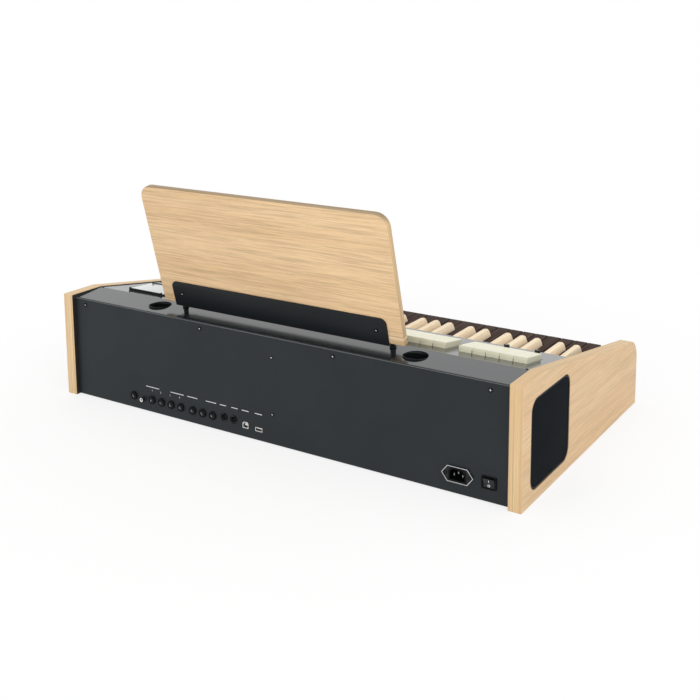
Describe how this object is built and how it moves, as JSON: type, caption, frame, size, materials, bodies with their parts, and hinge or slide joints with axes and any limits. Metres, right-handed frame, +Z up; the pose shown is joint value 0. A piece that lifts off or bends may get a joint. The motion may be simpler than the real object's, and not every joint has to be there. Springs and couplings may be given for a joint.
{
  "type": "electronic organ",
  "caption": "Tabletop electronic organ with wooden cheeks, side speakers, stop tabs, one keyboard and a lift-off music desk; sockets and mains inlet at the rear.",
  "frame": {"origin": "centre of the bounding box's footprint, on the surface that the cheeks rest on", "axes": "+X to the player's right (treble), -Y towards the player, +Z up"},
  "size_m": [0.898, 0.5124, 0.4106],
  "materials": {
    "left_cheek": "oiled light wood",
    "left_speaker_grille": "matte black cloth over a board",
    "left_speaker": "matte black",
    "left_port_tube": "satin black",
    "left_piston_group": "cream, semi-gloss",
    "right_cheek": "oiled light wood",
    "right_speaker_grille": "matte black cloth over a board",
    "right_speaker": "matte black",
    "right_port_tube": "satin black",
    "right_piston_group": "cream, semi-gloss",
    "rear_panel": "satin dark grey paint",
    "top_cover": "satin dark grey paint",
    "base_panel": "satin dark grey paint",
    "front_rail": "satin dark grey paint",
    "keybed": "raw wood",
    "tab_rail": "bare steel",
    "display": "gloss black",
    "outer_knob": "satin black",
    "inner_knob": "satin black",
    "desk_board": "oiled light wood",
    "desk_ledge": "oiled light wood",
    "desk_bracket": "satin black",
    "socket_board": "satin black",
    "mains_inlet": "satin black",
    "power_switch_frame": "satin black",
    "power_rocker": "satin black",
    "main_board": "green circuit board",
    "power_supply": "bare steel",
    "amplifier": "bare aluminium",
    "key_c": "dark stained wood",
    "key_c_sharp": "pale lacquered wood",
    "key_d": "dark stained wood",
    "key_d_sharp": "pale lacquered wood",
    "key_e": "dark stained wood",
    "key_f": "dark stained wood",
    "key_f_sharp": "pale lacquered wood",
    "key_g": "dark stained wood",
    "key_g_sharp": "pale lacquered wood",
    "key_a": "dark stained wood",
    "key_a_sharp": "pale lacquered wood",
    "key_b": "dark stained wood",
    "octave_2_naturals": "dark stained wood",
    "octave_2_sharps": "pale lacquered wood",
    "octave_3_naturals": "dark stained wood",
    "octave_3_sharps": "pale lacquered wood",
    "octave_4_naturals": "dark stained wood",
    "octave_4_sharps": "pale lacquered wood",
    "octave_5_naturals": "dark stained wood",
    "octave_5_sharps": "pale lacquered wood",
    "key_top_c": "dark stained wood",
    "stop_tab_1": "cream, semi-gloss",
    "stop_tab_2": "cream, semi-gloss",
    "stop_tab_3": "cream, semi-gloss",
    "stop_tab_4": "cream, semi-gloss",
    "stop_tab_5": "cream, semi-gloss",
    "stop_tab_group_2": "cream, semi-gloss",
    "stop_tab_group_3": "cream, semi-gloss",
    "stop_tab_group_4": "cream, semi-gloss",
    "stop_tab_group_5": "cream, semi-gloss"
  },
  "bodies": {
    "case": {"left_cheek": "left_cheek", "left_speaker_grille": "left_speaker_grille", "left_speaker": "left_speaker", "left_port_tube": "left_port_tube", "right_cheek": "right_cheek", "right_speaker_grille": "right_speaker_grille", "right_speaker": "right_speaker", "right_port_tube": "right_port_tube", "rear_panel": "rear_panel", "top_cover": "top_cover", "base_panel": "base_panel", "front_rail": "front_rail", "keybed": "keybed", "tab_rail": "tab_rail", "display": "display", "socket_board": "socket_board", "mains_inlet": "mains_inlet", "power_switch_frame": "power_switch_frame", "main_board": "main_board", "power_supply": "power_supply", "amplifier": "amplifier"},
    "music_desk": {"desk_board": "desk_board", "desk_ledge": "desk_ledge", "desk_bracket": "desk_bracket"},
    "key_c": {"key_c": "key_c"},
    "key_c_sharp": {"key_c_sharp": "key_c_sharp"},
    "key_d": {"key_d": "key_d"},
    "key_d_sharp": {"key_d_sharp": "key_d_sharp"},
    "key_e": {"key_e": "key_e"},
    "key_f": {"key_f": "key_f"},
    "key_f_sharp": {"key_f_sharp": "key_f_sharp"},
    "key_g": {"key_g": "key_g"},
    "key_g_sharp": {"key_g_sharp": "key_g_sharp"},
    "key_a": {"key_a": "key_a"},
    "key_a_sharp": {"key_a_sharp": "key_a_sharp"},
    "key_b": {"key_b": "key_b"},
    "octave_2_naturals": {"octave_2_naturals": "octave_2_naturals"},
    "octave_2_sharps": {"octave_2_sharps": "octave_2_sharps"},
    "octave_3_naturals": {"octave_3_naturals": "octave_3_naturals"},
    "octave_3_sharps": {"octave_3_sharps": "octave_3_sharps"},
    "octave_4_naturals": {"octave_4_naturals": "octave_4_naturals"},
    "octave_4_sharps": {"octave_4_sharps": "octave_4_sharps"},
    "octave_5_naturals": {"octave_5_naturals": "octave_5_naturals"},
    "octave_5_sharps": {"octave_5_sharps": "octave_5_sharps"},
    "key_top_c": {"key_top_c": "key_top_c"},
    "stop_tab_1": {"stop_tab_1": "stop_tab_1"},
    "stop_tab_2": {"stop_tab_2": "stop_tab_2"},
    "stop_tab_3": {"stop_tab_3": "stop_tab_3"},
    "stop_tab_4": {"stop_tab_4": "stop_tab_4"},
    "stop_tab_5": {"stop_tab_5": "stop_tab_5"},
    "stop_tab_group_2": {"stop_tab_group_2": "stop_tab_group_2"},
    "stop_tab_group_3": {"stop_tab_group_3": "stop_tab_group_3"},
    "stop_tab_group_4": {"stop_tab_group_4": "stop_tab_group_4"},
    "stop_tab_group_5": {"stop_tab_group_5": "stop_tab_group_5"},
    "outer_knob": {"outer_knob": "outer_knob"},
    "inner_knob": {"inner_knob": "inner_knob"},
    "power_rocker": {"power_rocker": "power_rocker"},
    "left_piston_group": {"left_piston_group": "left_piston_group"},
    "right_piston_group": {"right_piston_group": "right_piston_group"}
  },
  "joints": [
    {"name": "desk_lift", "type": "slide", "parent": "case", "child": "music_desk", "axis": [0, 0, 1], "range_m": [0, 0.03]},
    {"name": "outer_knob_turn", "type": "hinge", "parent": "case", "child": "outer_knob", "pos_m": [-0.3942, 0.06385, 0.16872], "axis": [0, -0.1685, 0.9857], "range_deg": [-150, 150]},
    {"name": "inner_knob_turn", "type": "hinge", "parent": "case", "child": "inner_knob", "pos_m": [-0.3427, 0.06385, 0.16872], "axis": [0, -0.1685, 0.9857], "range_deg": [-150, 150]},
    {"name": "power_rocker_tip", "type": "hinge", "parent": "case", "child": "power_rocker", "pos_m": [-0.3953, 0.22834, 0.0312], "axis": [1, 0, 0], "range_deg": [0, 18]},
    {"name": "left_piston_group_press", "type": "slide", "parent": "case", "child": "left_piston_group", "axis": [0, 0.1685, -0.9857], "range_m": [0, 0.002], "stiffness_N_per_m": 400, "springref_m": -0.003},
    {"name": "right_piston_group_press", "type": "slide", "parent": "case", "child": "right_piston_group", "axis": [0, 0.1685, -0.9857], "range_m": [0, 0.002], "stiffness_N_per_m": 400, "springref_m": -0.003},
    {"name": "stop_tab_1_rock", "type": "hinge", "parent": "case", "child": "stop_tab_1", "pos_m": [0, 0.10388, 0.16897], "axis": [1, 0, 0], "range_deg": [0, 6]},
    {"name": "stop_tab_2_rock", "type": "hinge", "parent": "case", "child": "stop_tab_2", "pos_m": [0, 0.10388, 0.16897], "axis": [1, 0, 0], "range_deg": [0, 6]},
    {"name": "stop_tab_3_rock", "type": "hinge", "parent": "case", "child": "stop_tab_3", "pos_m": [0, 0.10388, 0.16897], "axis": [1, 0, 0], "range_deg": [0, 6]},
    {"name": "stop_tab_4_rock", "type": "hinge", "parent": "case", "child": "stop_tab_4", "pos_m": [0, 0.10388, 0.16897], "axis": [1, 0, 0], "range_deg": [0, 6]},
    {"name": "stop_tab_5_rock", "type": "hinge", "parent": "case", "child": "stop_tab_5", "pos_m": [0, 0.10388, 0.16897], "axis": [1, 0, 0], "range_deg": [0, 6]},
    {"name": "stop_tab_group_2_rock", "type": "hinge", "parent": "case", "child": "stop_tab_group_2", "pos_m": [0, 0.10388, 0.16897], "axis": [1, 0, 0], "range_deg": [0, 6]},
    {"name": "stop_tab_group_3_rock", "type": "hinge", "parent": "case", "child": "stop_tab_group_3", "pos_m": [0, 0.10388, 0.16897], "axis": [1, 0, 0], "range_deg": [0, 6]},
    {"name": "stop_tab_group_4_rock", "type": "hinge", "parent": "case", "child": "stop_tab_group_4", "pos_m": [0, 0.10388, 0.16897], "axis": [1, 0, 0], "range_deg": [0, 6]},
    {"name": "stop_tab_group_5_rock", "type": "hinge", "parent": "case", "child": "stop_tab_group_5", "pos_m": [0, 0.10388, 0.16897], "axis": [1, 0, 0], "range_deg": [0, 6]},
    {"name": "key_c_hinge", "type": "hinge", "parent": "case", "child": "key_c", "pos_m": [0, 0.08934, 0.1145], "axis": [1, 0, 0], "range_deg": [0, 2.48], "stiffness_Nm_per_rad": 0.8, "springref_deg": -14.32},
    {"name": "key_c_sharp_hinge", "type": "hinge", "parent": "case", "child": "key_c_sharp", "pos_m": [0, 0.08934, 0.1145], "axis": [1, 0, 0], "range_deg": [0, 2.48], "stiffness_Nm_per_rad": 0.7, "springref_deg": -14.32},
    {"name": "key_d_hinge", "type": "hinge", "parent": "case", "child": "key_d", "pos_m": [0, 0.08934, 0.1145], "axis": [1, 0, 0], "range_deg": [0, 2.48], "stiffness_Nm_per_rad": 0.8, "springref_deg": -14.32},
    {"name": "key_d_sharp_hinge", "type": "hinge", "parent": "case", "child": "key_d_sharp", "pos_m": [0, 0.08934, 0.1145], "axis": [1, 0, 0], "range_deg": [0, 2.48], "stiffness_Nm_per_rad": 0.7, "springref_deg": -14.32},
    {"name": "key_e_hinge", "type": "hinge", "parent": "case", "child": "key_e", "pos_m": [0, 0.08934, 0.1145], "axis": [1, 0, 0], "range_deg": [0, 2.48], "stiffness_Nm_per_rad": 0.8, "springref_deg": -14.32},
    {"name": "key_f_hinge", "type": "hinge", "parent": "case", "child": "key_f", "pos_m": [0, 0.08934, 0.1145], "axis": [1, 0, 0], "range_deg": [0, 2.48], "stiffness_Nm_per_rad": 0.8, "springref_deg": -14.32},
    {"name": "key_f_sharp_hinge", "type": "hinge", "parent": "case", "child": "key_f_sharp", "pos_m": [0, 0.08934, 0.1145], "axis": [1, 0, 0], "range_deg": [0, 2.48], "stiffness_Nm_per_rad": 0.7, "springref_deg": -14.32},
    {"name": "key_g_hinge", "type": "hinge", "parent": "case", "child": "key_g", "pos_m": [0, 0.08934, 0.1145], "axis": [1, 0, 0], "range_deg": [0, 2.48], "stiffness_Nm_per_rad": 0.8, "springref_deg": -14.32},
    {"name": "key_g_sharp_hinge", "type": "hinge", "parent": "case", "child": "key_g_sharp", "pos_m": [0, 0.08934, 0.1145], "axis": [1, 0, 0], "range_deg": [0, 2.48], "stiffness_Nm_per_rad": 0.7, "springref_deg": -14.32},
    {"name": "key_a_hinge", "type": "hinge", "parent": "case", "child": "key_a", "pos_m": [0, 0.08934, 0.1145], "axis": [1, 0, 0], "range_deg": [0, 2.48], "stiffness_Nm_per_rad": 0.8, "springref_deg": -14.32},
    {"name": "key_a_sharp_hinge", "type": "hinge", "parent": "case", "child": "key_a_sharp", "pos_m": [0, 0.08934, 0.1145], "axis": [1, 0, 0], "range_deg": [0, 2.48], "stiffness_Nm_per_rad": 0.7, "springref_deg": -14.32},
    {"name": "key_b_hinge", "type": "hinge", "parent": "case", "child": "key_b", "pos_m": [0, 0.08934, 0.1145], "axis": [1, 0, 0], "range_deg": [0, 2.48], "stiffness_Nm_per_rad": 0.8, "springref_deg": -14.32},
    {"name": "octave_2_naturals_hinge", "type": "hinge", "parent": "case", "child": "octave_2_naturals", "pos_m": [0, 0.08934, 0.1145], "axis": [1, 0, 0], "range_deg": [0, 2.48], "stiffness_Nm_per_rad": 5.6, "springref_deg": -14.32},
    {"name": "octave_2_sharps_hinge", "type": "hinge", "parent": "case", "child": "octave_2_sharps", "pos_m": [0, 0.08934, 0.1145], "axis": [1, 0, 0], "range_deg": [0, 2.48], "stiffness_Nm_per_rad": 3.5, "springref_deg": -14.32},
    {"name": "octave_3_naturals_hinge", "type": "hinge", "parent": "case", "child": "octave_3_naturals", "pos_m": [0, 0.08934, 0.1145], "axis": [1, 0, 0], "range_deg": [0, 2.48], "stiffness_Nm_per_rad": 5.6, "springref_deg": -14.32},
    {"name": "octave_3_sharps_hinge", "type": "hinge", "parent": "case", "child": "octave_3_sharps", "pos_m": [0, 0.08934, 0.1145], "axis": [1, 0, 0], "range_deg": [0, 2.48], "stiffness_Nm_per_rad": 3.5, "springref_deg": -14.32},
    {"name": "octave_4_naturals_hinge", "type": "hinge", "parent": "case", "child": "octave_4_naturals", "pos_m": [0, 0.08934, 0.1145], "axis": [1, 0, 0], "range_deg": [0, 2.48], "stiffness_Nm_per_rad": 5.6, "springref_deg": -14.32},
    {"name": "octave_4_sharps_hinge", "type": "hinge", "parent": "case", "child": "octave_4_sharps", "pos_m": [0, 0.08934, 0.1145], "axis": [1, 0, 0], "range_deg": [0, 2.48], "stiffness_Nm_per_rad": 3.5, "springref_deg": -14.32},
    {"name": "octave_5_naturals_hinge", "type": "hinge", "parent": "case", "child": "octave_5_naturals", "pos_m": [0, 0.08934, 0.1145], "axis": [1, 0, 0], "range_deg": [0, 2.48], "stiffness_Nm_per_rad": 5.6, "springref_deg": -14.32},
    {"name": "octave_5_sharps_hinge", "type": "hinge", "parent": "case", "child": "octave_5_sharps", "pos_m": [0, 0.08934, 0.1145], "axis": [1, 0, 0], "range_deg": [0, 2.48], "stiffness_Nm_per_rad": 3.5, "springref_deg": -14.32},
    {"name": "key_top_c_hinge", "type": "hinge", "parent": "case", "child": "key_top_c", "pos_m": [0, 0.08934, 0.1145], "axis": [1, 0, 0], "range_deg": [0, 2.48], "stiffness_Nm_per_rad": 0.8, "springref_deg": -14.32}
  ]
}
